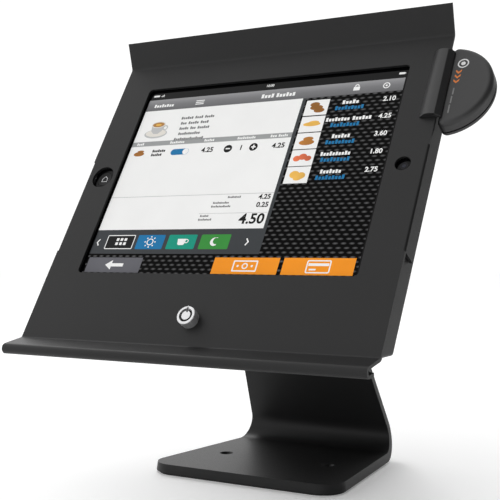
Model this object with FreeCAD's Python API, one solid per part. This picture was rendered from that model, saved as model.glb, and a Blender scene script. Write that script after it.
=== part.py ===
import FreeCAD, Part
import math
import os

# A countertop checkout kiosk: a tablet in a leaning sheet-metal enclosure on a bent steel stand.
#
# Row frame, in millimetres: the origin is on the counter, midway between the stand's two bolt
# holes. +X is to the right of someone facing the screen, +Y is towards the back, +Z is up.
#
# Panel frame, for everything in the enclosure: the origin is the middle of the crease between the
# window plate and the document ledge. x runs to the right, y up the plate, z out of its front face.

# ---- stand ----
plate_thickness = 5.8
pad_thickness = 1.5
pad_inset = 1.0
base_front_y = -51.7
base_back_corner_y = 72.6
base_front_width = 140.6
base_side_taper = 0.1042
riser_side_taper = 0.1686
base_corner_radius = 15.0
base_bend_radius = 12.0
top_bend_radius = 14.0
riser_lean_deg = 27.0
flange_top_gap = 6.0
flange_corner_radius = 6.0
bolt_hole_radius = 2.75
bolt_head_radius = 4.75
bolt_spacing = 78.0

# ---- where the panel is held ----
panel_lean_deg = 31.9
crease_forward = 114.0
crease_height = 93.7

# ---- tablet ----
tablet_width = 241.2
tablet_height = 185.7
tablet_thickness = 9.4
tablet_bottom = 33.0
tablet_corner_radius = 10.0
tablet_back_radius = 3.0
tablet_wall = 1.0
glass_thickness = 0.8
glass_inset = 1.7
gasket_gap = 0.1
display_width = 205.0
display_height = 156.0
display_thickness = 2.5
inner_gap = 0.1
battery_cells = 3
battery_width = 60.0
battery_height = 100.0
battery_thickness = 4.0
home_edge_distance = 9.5
camera_edge_distance = 10.0
home_button_radius = 5.5
button_clearance = 0.3
home_button_travel = 0.4
home_button_flange = 1.2
home_button_flange_depth = 1.0
home_button_dish_radius = 40.0
home_button_dish_depth = 0.3
home_stem_radius = 2.0
home_stem_depth = 1.5
home_switch_radius = 2.2
home_switch_gap = 0.1
button_width = 2.2
button_proud = 0.5
power_button_length = 9.5
power_button_above_bottom = 22.0
power_button_proud = 0.2
rocker_length = 19.0
rocker_from_side = 50.0
mute_switch_length = 3.0
mute_switch_travel = 2.0
mute_switch_from_side = 29.0
mute_switch_corner = 0.6
button_inner_length = 1.2
button_round_gap = 0.05
rocker_pivot_radius = 0.8
dock_length = 24.0
dock_height = 3.4
dock_depth = 5.0
dock_below_middle = 0.7
dock_shell_wall = 0.5
dock_end_wall = 1.0
dock_tongue_setback = 0.5
dock_tongue_side_gap = 1.0
dock_tongue_thickness = 0.8
jack_edge_distance = 21.7
jack_plug_radius = 1.75
jack_plug_length = 14.0
jack_running_clearance = 0.05
jack_body_width = 6.4
jack_body_height = 4.6
jack_end_wall = 1.0
jack_end_room = 1.0
jack_opening_clearance = 0.1
board_width = 16.0
board_from_side = 4.0
board_length = 120.0
board_thickness = 1.0
chip_size = (9.0, 12.0, 1.0)
chip_spacing = 25.0
chip_count = 4
camera_housing_size = 7.0
camera_lens_radius = 2.2
camera_lens_depth = 1.0
camera_below_display = 1.5
speaker_size = (16.0, 22.0, 3.4)
speaker_from_side = 4.0
speaker_above_bottom = 12.0
speaker_corner_radius = 1.5
battery_gap = 3.0
battery_corner_radius = 3.0

# ---- enclosure ----
sheet = 1.9
tray_wall = 1.0
tablet_clearance = 0.7
flange_clearance = 0.3
cover_gap = 0.6
tray_depth = 20.8
tray_floor_height = -1.4
tray_corner_radius = 2.0
window_width = 200.0
window_height = 154.0
window_corner_radius = 3.0
home_opening_radius = 8.5
camera_opening_radius = 5.0
header_margin = 1.5
header_length = 19.5
header_bend_deg = 46.2
header_bend_radius = 3.0
ledge_droop_deg = 10.0
ledge_length = 15.3
ledge_bend_radius = 2.0
hem_radius = 3.4
hem_return = 5.5
side_flange_bottom = 65.6
side_flange_top = 139.1
side_flange_depth = 13.2
side_flange_bend_radius = 1.4
cable_notch_height = 28.0
window_gasket_width = 4.0
window_gasket_thickness = 0.3
window_gasket_setback = 0.5
side_flange_arm = 5.7
lock_opening_clearance = 0.1
plug_notch_room = 1.5
rest_width = 16.0
rest_spacing = 92.0
pad_width = 40.0
pad_height = 24.0

# ---- enclosure hinges and screws ----
hinge_pin_radius = 1.0
hinge_running_clearance = 0.05
knuckle_wall = 0.75
knuckle_gap = 0.4
knuckle_length = 12.0
knuckle_side_gap = 0.3
hinge_spacing = 160.0
screw_radius = 2.0
screw_hole_clearance = 0.2
screw_head_radius = 3.8
screw_head_height = 2.2
nut_height = 3.2
nut_across_flats = 7.0
thread_gap = 0.05
screw_end_proud = 1.0
screw_spacing_x = 50.0
screw_spacing_y = 40.0

# ---- lock ----
lock_height = 17.5
lock_head_radius = 6.1
lock_head_start = 2.2
lock_head_end = 6.2
lock_collar_radius = 5.2
lock_barrel_radius = 5.4
lock_barrel_end = -8.0
lock_bore_radius = 4.4
lock_running_clearance = 0.05
lock_post_radius = 3.0
lock_post_end = 5.9
lock_ring_end = 3.2
lock_neck_radius = 2.2
lock_pin_count = 7
lock_pin_radius = 0.45
lock_pin_depth = 4.2
lock_pin_recess = 0.3
lock_head_round = 0.6
lock_collar_lip = 0.6
lock_collar_flat_height = 3.0
lock_keyway_width = 1.2
lock_keyway_depth = 0.8
lock_keyway_above_collar = 1.5
lock_notch_width = 1.0
lock_notch_depth = 1.0
lock_notch_above_ring = 0.5
lock_nut_height = 3.0
lock_nut_across_flats = 14.0
tbar_length = 13.4
tbar_width = 3.6
tbar_thickness = 2.0
tbar_corner_radius = 0.8
tbar_screw_radius = 1.25
tbar_screw_bite = 1.0
tbar_screw_head_radius = 2.4
tbar_screw_head_height = 1.5
strike_thickness = 1.2
strike_clearance = 0.6
strike_slot_clearance = 0.9
strike_behind_barrel = 4.0
strike_side_room = 6.0
strike_foot_length = 6.0
strike_floor_gap = 1.0
strike_above_tbar = 2.0

# ---- card reader ----
reader_radius = 30.7
reader_center_inside_cover_edge = 0.9
reader_plug_inside_slot = 5.15
reader_thickness = 12.0
reader_wall = 1.5
reader_front_round = 3.0
reader_back_round = 2.0
reader_side_gap = 0.5
reader_corner_radius = 4.0
reader_split_below_front = 7.6
swipe_slot_width = 1.1
swipe_slot_depth = 9.0
swipe_slot_wall = 1.0
reader_collar_radius = 3.0
reader_screw_radius = 0.9
reader_screw_head = 0.7
reader_screw_head_height = 0.7
reader_screw_head_clearance = 0.1
reader_screw_bite = 2.5
reader_post_radius = 2.2
reader_post_inside_slot = 4.5
reader_post_from_wall = 2.5
reader_post_step = 7.0
reader_post_joint = 0.2
reader_head_width = 5.0
reader_head_height = 3.0
reader_head_proud = 0.1
reader_head_side_clearance = 0.2
reader_head_step_gap = 0.3
reader_spring_thickness = 0.4
reader_spring_setback = 1.0
reader_spring_post_gap = 2.96
reader_board_length = 10.5
reader_board_gap = 0.5
reader_board_below_middle = 9.0
reader_board_above_split = 3.4
reader_board_thickness = 1.0
reader_board_plug_gap = 1.0
reader_chip_size = (5.0, 5.0, 0.8)
reader_chip_below_middle = 3.0
plug_collar_start = 0.4
plug_collar_gap = 0.05
plug_tip_chamfer = 0.9
plug_root_radius = 2.2
plug_root_length = 5.0
clip_length = 51.0
clip_inner_margin = 10.3
clip_outer_margin = 3.1
clip_height = 4.0
clip_ramp = 3.8
clip_above_reader_middle = 0.5
clip_hook_gap = 0.3
clip_hook_clearance = 0.2
clip_shoulder_drop = 0.5
clip_inner_lip = 0.6

# ---- places worked out from the sizes above ----
Vector = FreeCAD.Vector
lean = math.radians(panel_lean_deg)
riser_lean = math.radians(riser_lean_deg)
plate_top = pad_thickness + plate_thickness
panel_turn = FreeCAD.Rotation(Vector(1, 0, 0), 90 - panel_lean_deg)
PANEL = FreeCAD.Placement(Vector(0, -crease_forward, crease_height), panel_turn)

tablet_top = tablet_bottom + tablet_height
tablet_middle = tablet_bottom + tablet_height / 2
tablet_front = -(sheet + cover_gap)
tablet_back = tablet_front - tablet_thickness
tablet_side = tablet_width / 2
glass_back = tablet_front - glass_thickness
display_back = glass_back - inner_gap - display_thickness
shell_floor = tablet_back + tablet_wall
edge_middle = (tablet_front + tablet_back) / 2
home_x = -(tablet_side - home_edge_distance)
camera_x = tablet_side - camera_edge_distance
jack_y = tablet_top - jack_edge_distance
power_button_y = tablet_bottom + power_button_above_bottom
rocker_x = tablet_side - rocker_from_side
mute_switch_x = tablet_side - mute_switch_from_side
dock_z = edge_middle - dock_below_middle

tray_inner_side = tablet_side + tablet_clearance
tray_side = tray_inner_side + tray_wall
tray_front = tablet_front
tray_back = -tray_depth
tray_inner_back = tray_back + tray_wall
tray_inner_top = tablet_top + tablet_clearance
tray_top = tray_inner_top + tray_wall
cover_side = tray_side + flange_clearance + sheet

knuckle_radius = hinge_pin_radius + hinge_running_clearance + knuckle_wall
hinge_y = tray_top + knuckle_gap + knuckle_radius
hinge_z = -(sheet + knuckle_gap + knuckle_radius)
header_y = hinge_y + header_margin
ledge_bend_deg = 90 - panel_lean_deg - ledge_droop_deg

strike_back = lock_barrel_end - strike_behind_barrel
strike_front = strike_back + strike_thickness
tbar_front = strike_back - strike_clearance
tbar_back = tbar_front - tbar_thickness

reader_front = edge_middle + reader_thickness / 2
reader_back = reader_front - reader_thickness
reader_split = reader_front - reader_split_below_front
reader_slot_back = reader_split - swipe_slot_width
reader_flat_x = cover_side + reader_side_gap
reader_center_x = cover_side - reader_center_inside_cover_edge
reader_plug_offset = reader_radius - swipe_slot_depth - reader_wall - plug_root_radius - reader_plug_inside_slot
reader_y = jack_y - reader_plug_offset

EPSILON = 1e-6
THROUGH = 1.0


# ---- solids and outlines ----
def block(x_range, y_range, z_range):
    corner = Vector(x_range[0], y_range[0], z_range[0])
    size = [high - low for low, high in (x_range, y_range, z_range)]
    return Part.makeBox(size[0], size[1], size[2], corner)


def rod(radius, start, end):
    return Part.makeCylinder(radius, (end - start).Length, start, end - start)


def rod_along_x(radius, y, z, x_range):
    return rod(radius, Vector(x_range[0], y, z), Vector(x_range[1], y, z))


def rod_along_z(radius, x, y, z_range):
    return rod(radius, Vector(x, y, z_range[0]), Vector(x, y, z_range[1]))


def around(middle, width):
    return (middle - width / 2, middle + width / 2)


def polygon_face(points):
    return Part.Face(Part.makePolygon(points + [points[0]]))


def prism_along_x(outline, x_range):
    face = polygon_face([Vector(x_range[0], y, z) for y, z in outline])
    return face.extrude(Vector(x_range[1] - x_range[0], 0, 0))


def prism_along_y(outline, y_range):
    face = polygon_face([Vector(x, y_range[0], z) for x, z in outline])
    return face.extrude(Vector(0, y_range[1] - y_range[0], 0))


def edges_along(shape, direction):
    found = []
    for edge in shape.Edges:
        tangent = edge.tangentAt(edge.FirstParameter)
        if abs(tangent.dot(direction)) > 1 - EPSILON and isinstance(edge.Curve, Part.Line):
            found.append(edge)
    return found


def rounded_block(x_range, y_range, z_range, radius):
    """Block whose four corners along z are rounded."""
    plain = block(x_range, y_range, z_range)
    return plain.makeFillet(radius, edges_along(plain, Vector(0, 0, 1)))


def capsule_block(x_range, y_range, z_range):
    """Block whose narrow ends, in the x and y plane, are half round."""
    width = min(x_range[1] - x_range[0], y_range[1] - y_range[0])
    return rounded_block(x_range, y_range, z_range, width / 2 - 0.01)


def hexagon_nut(center, across_flats, z_range, bore_radius):
    reach = across_flats / math.sqrt(3)
    corners = []
    for index in range(6):
        angle = math.radians(60 * index)
        corners.append(center + Vector(reach * math.cos(angle), reach * math.sin(angle), z_range[0]))
    nut = polygon_face(corners).extrude(Vector(0, 0, z_range[1] - z_range[0]))
    return nut.cut(rod_along_z(bore_radius, center.x, center.y, z_range))


def bent_sheet(corners, radii, thickness, x_range):
    """Sheet bent along x, from the (y, z) corners of one face and that face's bend radii.

    A positive thickness puts the material to the left of the way along the corners.
    """
    points = [Vector(x_range[0], y, z) for y, z in corners]
    ways = []
    for index in range(len(points) - 1):
        ways.append((points[index + 1] - points[index]).normalize())

    def left(way):
        return Vector(0, -way.z, way.y)

    face_edges = []
    back_edges = []
    start = points[0]

    def add_run(end, way):
        if (end - start).Length > EPSILON:
            shift = left(way) * thickness
            face_edges.append(Part.LineSegment(start, end).toShape())
            back_edges.append(Part.LineSegment(start + shift, end + shift).toShape())

    for index, radius in enumerate(radii):
        way = ways[index]
        onward = ways[index + 1]
        turn = way.getAngle(onward)
        side = math.copysign(1, left(way).dot(onward))
        corner = points[index + 1]
        bend_start = corner - way * radius * math.tan(turn / 2)
        bend_end = corner + onward * radius * math.tan(turn / 2)
        add_run(bend_start, way)
        center = bend_start + left(way) * side * radius
        outwards = (corner - center).normalize()
        back_radius = radius - side * thickness
        face_edges.append(Part.Arc(bend_start, center + outwards * radius, bend_end).toShape())
        back_start = bend_start + left(way) * thickness
        back_end = bend_end + left(onward) * thickness
        back_middle = center + outwards * back_radius
        back_edges.append(Part.Arc(back_start, back_middle, back_end).toShape())
        start = bend_end
    add_run(points[-1], ways[-1])
    first_cap = Part.LineSegment(points[0], points[0] + left(ways[0]) * thickness).toShape()
    last_cap = Part.LineSegment(points[-1], points[-1] + left(ways[-1]) * thickness).toShape()
    outline = Part.Wire(Part.__sortEdges__(face_edges + [last_cap] + back_edges + [first_cap]))
    return Part.Face(outline).extrude(Vector(x_range[1] - x_range[0], 0, 0))


def fused(shapes):
    whole = shapes[0]
    for shape in shapes[1:]:
        whole = whole.fuse(shape)
    return whole.removeSplitter()


def cut_all(shape, tools):
    for tool in tools:
        shape = shape.cut(tool)
    return shape


def on_panel(shape):
    """Move a shape from the panel frame to the row frame."""
    placed = shape.copy()
    placed.Placement = PANEL.multiply(placed.Placement)
    return placed


def mirrored(shape):
    return shape.mirror(Vector(0, 0, 0), Vector(1, 0, 0))


def pattern(x_spacing, y_spacing, x_middle, y_middle):
    places = []
    for x_side in (-1, 1):
        for y_side in (-1, 1):
            places.append((x_middle + x_side * x_spacing / 2, y_middle + y_side * y_spacing / 2))
    return places


# ---- stand ----
def riser_top_corner():
    """Where the riser's front face would meet the plane of the tray's back, and how far up it."""
    up_riser = Vector(0, -math.sin(riser_lean), math.cos(riser_lean))
    foot = Vector(0, base_back_corner_y, plate_top)
    tray_point = PANEL.multVec(Vector(0, 0, tray_back))
    tray_normal = PANEL.Rotation.multVec(Vector(0, 0, 1))
    reach = (tray_point - foot).dot(tray_normal) / up_riser.dot(tray_normal)
    corner = foot + up_riser * reach
    return corner, PANEL.inverse().multVec(corner).y


def stand_half_width(y, z):
    front_half = base_front_width / 2
    return front_half - base_side_taper * (y - base_front_y) - riser_side_taper * (z - plate_top)


def flange_bottom():
    corner, height = riser_top_corner()
    turn = lean + riser_lean
    return height + top_bend_radius * math.tan(turn / 2)


def flange_half_width():
    edge = PANEL.multVec(Vector(0, flange_bottom(), tray_back))
    return stand_half_width(edge.y, edge.z)


def flange_top():
    return tray_top - flange_top_gap


def screw_middle_y():
    return (flange_bottom() + flange_top()) / 2


def side_trim():
    """Solid outside the stand's tapered right edge."""
    y_limits = (base_front_y - 100, base_back_corner_y + 200)
    z_limits = (-50, crease_height + 300)
    corners = []
    for y, z in ((0, 0), (1, 0), (1, 1), (0, 1)):
        corner_y = y_limits[y]
        corner_z = z_limits[z]
        corners.append(Vector(stand_half_width(corner_y, corner_z), corner_y, corner_z))
    return polygon_face(corners).extrude(Vector(base_front_width * 2, 0, 0))


def bolt_places():
    return [(-bolt_spacing / 2, 0), (bolt_spacing / 2, 0)]


def round_base_corners(shape, z_low):
    corners = []
    for edge in shape.Edges:
        box = edge.BoundBox
        at_front = box.YMax < base_front_y + pad_inset + 2
        upright = box.ZLength > pad_thickness / 2 and box.XLength < 2
        if at_front and upright and box.ZMin > z_low - EPSILON:
            corners.append(edge)
    return shape.makeFillet(base_corner_radius, corners)


def base_stand():
    top_corner, corner_height = riser_top_corner()
    bend_end = PANEL.multVec(Vector(0, flange_bottom(), tray_back))
    face_line = [
        (base_front_y, plate_top),
        (base_back_corner_y, plate_top),
        (top_corner.y, top_corner.z),
        (bend_end.y, bend_end.z),
    ]
    half = base_front_width / 2 + plate_thickness
    plate = bent_sheet(face_line, [base_bend_radius, top_bend_radius], -plate_thickness, (-half, half))
    trim = side_trim()
    plate = cut_all(plate, [trim, mirrored(trim)])
    plate = round_base_corners(plate, 0)
    side = flange_half_width()
    flange = block((-side, side), (flange_bottom(), flange_top()), (tray_back - plate_thickness, tray_back))
    corners = [edge for edge in edges_along(flange, Vector(0, 0, 1)) if edge.BoundBox.YMin > flange_top() - 1]
    flange = flange.makeFillet(flange_corner_radius, corners)
    for x, y in pattern(screw_spacing_x, screw_spacing_y, 0, screw_middle_y()):
        hole_z = (tray_back - plate_thickness - THROUGH, tray_back + THROUGH)
        flange = flange.cut(rod_along_z(screw_radius + screw_hole_clearance, x, y, hole_z))
    stand = fused([plate, on_panel(flange)])
    for x, y in bolt_places():
        hole = rod_along_z(bolt_hole_radius, x, y, (-THROUGH, plate_top + THROUGH))
        sink_depth = bolt_head_radius - bolt_hole_radius
        sink = Part.makeCone(bolt_hole_radius, bolt_head_radius, sink_depth, Vector(x, y, plate_top - sink_depth))
        stand = stand.cut(hole.fuse(sink))
    return stand


def base_pad():
    bend_turn = math.radians(90 + riser_lean_deg)
    back = base_back_corner_y - base_bend_radius * math.tan(bend_turn / 2)
    front = base_front_y + pad_inset
    outline = []
    for side, y in ((-1, front), (1, front), (1, back), (-1, back)):
        outline.append(Vector(side * (stand_half_width(y, plate_top) - pad_inset), y, 0))
    pad = polygon_face(outline).extrude(Vector(0, 0, pad_thickness))
    pad = round_base_corners(pad, 0)
    for x, y in bolt_places():
        pad = pad.cut(rod_along_z(bolt_hole_radius, x, y, (-THROUGH, plate_top)))
    return pad


# ---- enclosure tray ----
def floor_line(z, inset):
    """Height on the panel, at depth z, of the tray's level floor, moved inwards by inset."""
    return tray_floor_height - z * math.tan(lean) + inset / math.cos(lean)


def tray_outline(inset, front, back, top):
    return [
        (floor_line(front, inset), front),
        (floor_line(back, inset), back),
        (top, back),
        (top, front),
    ]


def back_edges_of(shape, back, side):
    """Edges of the back face and the four edges that run to it at the sides."""
    found = []
    for edge in shape.Edges:
        box = edge.BoundBox
        on_back = box.ZMax < back + EPSILON
        on_side = abs(abs(box.XMin) - side) < EPSILON and box.XLength < EPSILON
        runs_deep = on_side and box.ZLength > tray_depth / 2
        if on_back or runs_deep:
            found.append(edge)
    return found


def tray_shell():
    outer = prism_along_x(tray_outline(0, tray_front, tray_back, tray_top), (-tray_side, tray_side))
    outer = outer.makeFillet(tray_corner_radius, back_edges_of(outer, tray_back, tray_side))
    outline = tray_outline(tray_wall, tray_front + THROUGH, tray_inner_back, tray_inner_top)
    inner = prism_along_x(outline, (-tray_inner_side, tray_inner_side))
    inner_radius = tray_corner_radius - tray_wall
    inner = inner.makeFillet(inner_radius, back_edges_of(inner, tray_inner_back, tray_inner_side))
    return outer.cut(inner)


def cable_notch_ranges():
    """Notch in the left walls that a charging plug reaches the tablet's socket through."""
    return around(tablet_middle, cable_notch_height), (-side_flange_depth, tray_front - tray_wall)


def rear_tray():
    tray = tray_shell()
    notch_y, notch_z = cable_notch_ranges()
    notch_z = (notch_z[0], tray_front + THROUGH)
    left_notch = block((-tray_side - THROUGH, -tray_inner_side + THROUGH), notch_y, notch_z)
    collar_room = reader_collar_radius + plug_notch_room
    plug_notch_y = around(jack_y, 2 * collar_room)
    plug_notch_z = (edge_middle - collar_room, tray_front + THROUGH)
    right_notch = block((tray_inner_side - THROUGH, tray_side + THROUGH), plug_notch_y, plug_notch_z)
    tools = [left_notch, right_notch]
    for x, y in pattern(screw_spacing_x, screw_spacing_y, 0, screw_middle_y()):
        hole_z = (tray_back - THROUGH, tray_inner_back + THROUGH)
        tools.append(rod_along_z(screw_radius + screw_hole_clearance, x, y, hole_z))
    return cut_all(tray, tools)


def tray_screws():
    screws = []
    for x, y in pattern(screw_spacing_x, screw_spacing_y, 0, screw_middle_y()):
        head = rod_along_z(screw_head_radius, x, y, (tray_inner_back, tray_inner_back + screw_head_height))
        shank_end = tray_back - plate_thickness - nut_height - screw_end_proud
        shank = rod_along_z(screw_radius, x, y, (shank_end, tray_inner_back))
        screws.append(head.fuse(shank).removeSplitter())
    return Part.makeCompound(screws)


def tray_nuts():
    nuts = []
    nut_z = (tray_back - plate_thickness - nut_height, tray_back - plate_thickness)
    for x, y in pattern(screw_spacing_x, screw_spacing_y, 0, screw_middle_y()):
        nuts.append(hexagon_nut(Vector(x, y, 0), nut_across_flats, nut_z, screw_radius + thread_gap))
    return Part.makeCompound(nuts)


def hinge_middles():
    return (-hinge_spacing / 2, hinge_spacing / 2)


def knuckle(x_middle, foot_y, foot_z):
    x_range = around(x_middle, knuckle_length)
    bore = rod_along_x(hinge_pin_radius + hinge_running_clearance, hinge_y, hinge_z, x_range)
    barrel = rod_along_x(knuckle_radius, hinge_y, hinge_z, x_range)
    return barrel.fuse(block(x_range, foot_y, foot_z)).removeSplitter().cut(bore)


def tray_knuckles():
    pitch = knuckle_length + knuckle_side_gap
    knuckles = []
    for middle in hinge_middles():
        for side in (-1, 1):
            foot_y = (tray_top, hinge_y)
            foot_z = (hinge_z - knuckle_radius, hinge_z + knuckle_gap)
            knuckles.append(knuckle(middle + side * pitch, foot_y, foot_z))
    return Part.makeCompound(knuckles)


def cover_knuckles():
    knuckles = []
    for middle in hinge_middles():
        foot_y = (hinge_y - knuckle_radius, hinge_y + knuckle_gap)
        foot_z = (hinge_z, -sheet)
        knuckles.append(knuckle(middle, foot_y, foot_z))
    return Part.makeCompound(knuckles)


def hinge_pins():
    length = 3 * knuckle_length + 2 * knuckle_side_gap
    pins = []
    for middle in hinge_middles():
        pins.append(rod_along_x(hinge_pin_radius, hinge_y, hinge_z, around(middle, length)))
    return Part.makeCompound(pins)


def strike_bracket():
    """Hat-shaped bracket on the tray's back, with the slot that the lock's T-bar passes through."""
    inner = tbar_length / 2 + strike_side_room
    outer = inner + strike_thickness
    foot = outer + strike_foot_length
    foot_top = tray_inner_back + strike_thickness
    outline = [
        (-foot, tray_inner_back),
        (-foot, foot_top),
        (-outer, foot_top),
        (-outer, strike_front),
        (outer, strike_front),
        (outer, foot_top),
        (foot, foot_top),
        (foot, tray_inner_back),
        (inner, tray_inner_back),
        (inner, strike_back),
        (-inner, strike_back),
        (-inner, tray_inner_back),
    ]
    low = floor_line(tray_inner_back, tray_wall) + strike_floor_gap
    hat = prism_along_y(outline, (low, lock_height + tbar_length / 2 + strike_above_tbar))
    slot_x = around(0, tbar_length + 2 * strike_slot_clearance)
    slot_y = around(lock_height, tbar_width + 2 * strike_slot_clearance)
    return hat.cut(block(slot_x, slot_y, (strike_back - THROUGH, strike_front + THROUGH)))


def tablet_pads():
    pads = []
    x_spacing = tablet_width - 2 * pad_width
    y_spacing = tablet_height - 2 * pad_height
    for x, y in pattern(x_spacing, y_spacing, 0, tablet_middle):
        pads.append(block(around(x, pad_width), around(y, pad_height), (tray_inner_back, tablet_back)))
    return Part.makeCompound(pads)


def tablet_rests():
    rests = []
    rest_back = tray_inner_back + tray_corner_radius - tray_wall
    outline = tray_outline(tray_wall, tablet_front - tablet_wall, rest_back, tablet_bottom)
    for side in (-1, 1):
        rests.append(prism_along_x(outline, around(side * rest_spacing / 2, rest_width)))
    return Part.makeCompound(rests)


# ---- tablet ----
def tablet_block(inset, z_range):
    radius = tablet_corner_radius - inset
    x_range = around(0, tablet_width - 2 * inset)
    y_range = around(tablet_middle, tablet_height - 2 * inset)
    return rounded_block(x_range, y_range, z_range, radius)


def bottom_edge_cut(x_middle, length, clearance):
    width = length + 2 * clearance
    height = button_width + 2 * clearance
    y_range = (tablet_bottom - THROUGH, tablet_bottom + tablet_wall + THROUGH)
    return block(around(x_middle, width), y_range, around(edge_middle, height))


def tablet_rear_shell():
    shell = tablet_block(0, (tablet_back, tablet_front - gasket_gap))
    rim = [edge for edge in shell.Edges if edge.BoundBox.ZMax < tablet_back + EPSILON]
    shell = shell.makeFillet(tablet_back_radius, rim)
    pocket = tablet_block(tablet_wall, (shell_floor, tablet_front + THROUGH))
    pocket_rim = [edge for edge in pocket.Edges if edge.BoundBox.ZMax < shell_floor + EPSILON]
    pocket = pocket.makeFillet(tablet_back_radius - tablet_wall, pocket_rim)
    left_wall = (-tablet_side - THROUGH, -tablet_side + tablet_wall + THROUGH)
    right_wall = (tablet_side - tablet_wall - THROUGH, tablet_side + THROUGH)
    socket = block(left_wall, around(tablet_middle, dock_length), around(dock_z, dock_height))
    jack_hole = rod_along_x(jack_plug_radius + jack_opening_clearance, jack_y, edge_middle, right_wall)
    power_y = around(power_button_y, power_button_length + 2 * button_clearance)
    power_slot = block(right_wall, power_y, around(edge_middle, button_width + 2 * button_clearance))
    rocker_slot = bottom_edge_cut(rocker_x, rocker_length, button_clearance)
    mute_length = mute_switch_length + mute_switch_travel
    mute_slot = bottom_edge_cut(mute_switch_x + mute_switch_travel / 2, mute_length, button_clearance)
    return cut_all(shell, [pocket, socket, jack_hole, power_slot, rocker_slot, mute_slot])


def tablet_gasket():
    z_range = (glass_back, tablet_front - gasket_gap)
    return tablet_block(tablet_wall, z_range).cut(tablet_block(glass_inset, z_range))


def tablet_cover_glass():
    glass = tablet_block(glass_inset, (glass_back, tablet_front))
    hole_z = (glass_back - THROUGH, tablet_front + THROUGH)
    return glass.cut(rod_along_z(home_button_radius + button_clearance, home_x, tablet_middle, hole_z))


def tablet_display():
    z_range = (display_back, glass_back - inner_gap)
    return block(around(0, display_width), around(tablet_middle, display_height), z_range)


def tablet_battery():
    cells = []
    pitch = battery_width + battery_gap
    for index in range(battery_cells):
        x = (index - (battery_cells - 1) / 2) * pitch
        z_range = (shell_floor, shell_floor + battery_thickness)
        cell_y = around(tablet_middle, battery_height)
        cells.append(rounded_block(around(x, battery_width), cell_y, z_range, battery_corner_radius))
    return Part.makeCompound(cells)


def tablet_logic_board():
    middle_x = tablet_side - board_from_side - board_width / 2
    board_z = (shell_floor, shell_floor + board_thickness)
    pieces = [block(around(middle_x, board_width), around(tablet_middle, board_length), board_z)]
    width, height, thickness = chip_size
    chip_z = (board_z[1], board_z[1] + thickness)
    for index in range(chip_count):
        chip_y = tablet_middle + (index - (chip_count - 1) / 2) * chip_spacing
        pieces.append(block(around(middle_x, width), around(chip_y, height), chip_z))
    return fused(pieces)


def tablet_front_camera():
    lens_z = (glass_back - camera_lens_depth, glass_back)
    housing_y = around(tablet_middle, camera_housing_size)
    housing_z = (display_back - camera_below_display, lens_z[0])
    housing = block(around(camera_x, camera_housing_size), housing_y, housing_z)
    return fused([housing, rod_along_z(camera_lens_radius, camera_x, tablet_middle, lens_z)])


def tablet_dock_connector():
    outer_x = -tablet_side + tablet_wall
    body = block((outer_x, outer_x + dock_depth), around(tablet_middle, dock_length), around(dock_z, dock_height))
    mouth_x = (outer_x - THROUGH, outer_x + dock_depth - dock_end_wall)
    mouth_length = dock_length - 2 * dock_end_wall
    mouth = block(mouth_x, around(tablet_middle, mouth_length), around(dock_z, dock_height - 2 * dock_shell_wall))
    tongue_y = around(tablet_middle, mouth_length - 2 * dock_tongue_side_gap)
    tongue_x = (outer_x + dock_tongue_setback, outer_x + dock_depth)
    tongue = block(tongue_x, tongue_y, around(dock_z, dock_tongue_thickness))
    return fused([body.cut(mouth), tongue])


def tablet_headphone_jack():
    outer_x = tablet_side - tablet_wall
    inner_x = tablet_side - jack_plug_length - jack_end_room - jack_end_wall
    body = block((inner_x, outer_x - inner_gap), around(jack_y, jack_body_width), around(edge_middle, jack_body_height))
    bore_x = (inner_x + jack_end_wall, outer_x)
    bore = rod_along_x(jack_plug_radius + jack_running_clearance, jack_y, edge_middle, bore_x)
    return body.cut(bore)


def tablet_speaker():
    low_x = -tablet_side + speaker_from_side
    low_y = tablet_bottom + speaker_above_bottom
    lows = (low_x, low_y, shell_floor)
    ranges = [(low, low + size) for low, size in zip(lows, speaker_size)]
    return rounded_block(*ranges, speaker_corner_radius)


def home_button_switch():
    z_range = (shell_floor, glass_back - home_stem_depth - home_button_travel - home_switch_gap)
    return rod_along_z(home_switch_radius, home_x, tablet_middle, z_range)


def home_button():
    face = tablet_front - gasket_gap
    flange_back = glass_back - home_button_flange_depth
    cap = rod_along_z(home_button_radius, home_x, tablet_middle, (flange_back, face))
    flange_z = (flange_back, glass_back - inner_gap)
    flange = rod_along_z(home_button_radius + home_button_flange, home_x, tablet_middle, flange_z)
    stem = rod_along_z(home_stem_radius, home_x, tablet_middle, (glass_back - home_stem_depth, flange_back))
    dish_z = face + home_button_dish_radius - home_button_dish_depth
    dish = Part.makeSphere(home_button_dish_radius, Vector(home_x, tablet_middle, dish_z))
    return fused([cap, flange, stem]).cut(dish)


def button_round():
    return button_width / 2 - button_round_gap


def bottom_button(x_middle, length, corner_radius):
    inner_y = tablet_bottom + tablet_wall + button_inner_length
    y_range = (tablet_bottom - button_proud, inner_y)
    body = block(around(x_middle, length), y_range, around(edge_middle, button_width))
    return body.makeFillet(corner_radius, edges_along(body, Vector(0, 1, 0)))


def power_button():
    outer_x = tablet_side + power_button_proud
    inner_x = tablet_side - tablet_wall - button_inner_length
    stem = block((inner_x, outer_x), around(power_button_y, power_button_length), around(edge_middle, button_width))
    return stem.makeFillet(button_round(), edges_along(stem, Vector(1, 0, 0)))


def volume_rocker():
    """Key that rocks on the round rib across the middle of its inner face."""
    pivot_y = tablet_bottom + tablet_wall + button_inner_length
    pivot = rod_along_z(rocker_pivot_radius, rocker_x, pivot_y, around(edge_middle, button_width))
    return fused([bottom_button(rocker_x, rocker_length, button_round()), pivot])


def mute_switch():
    return bottom_button(mute_switch_x, mute_switch_length, mute_switch_corner)


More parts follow.
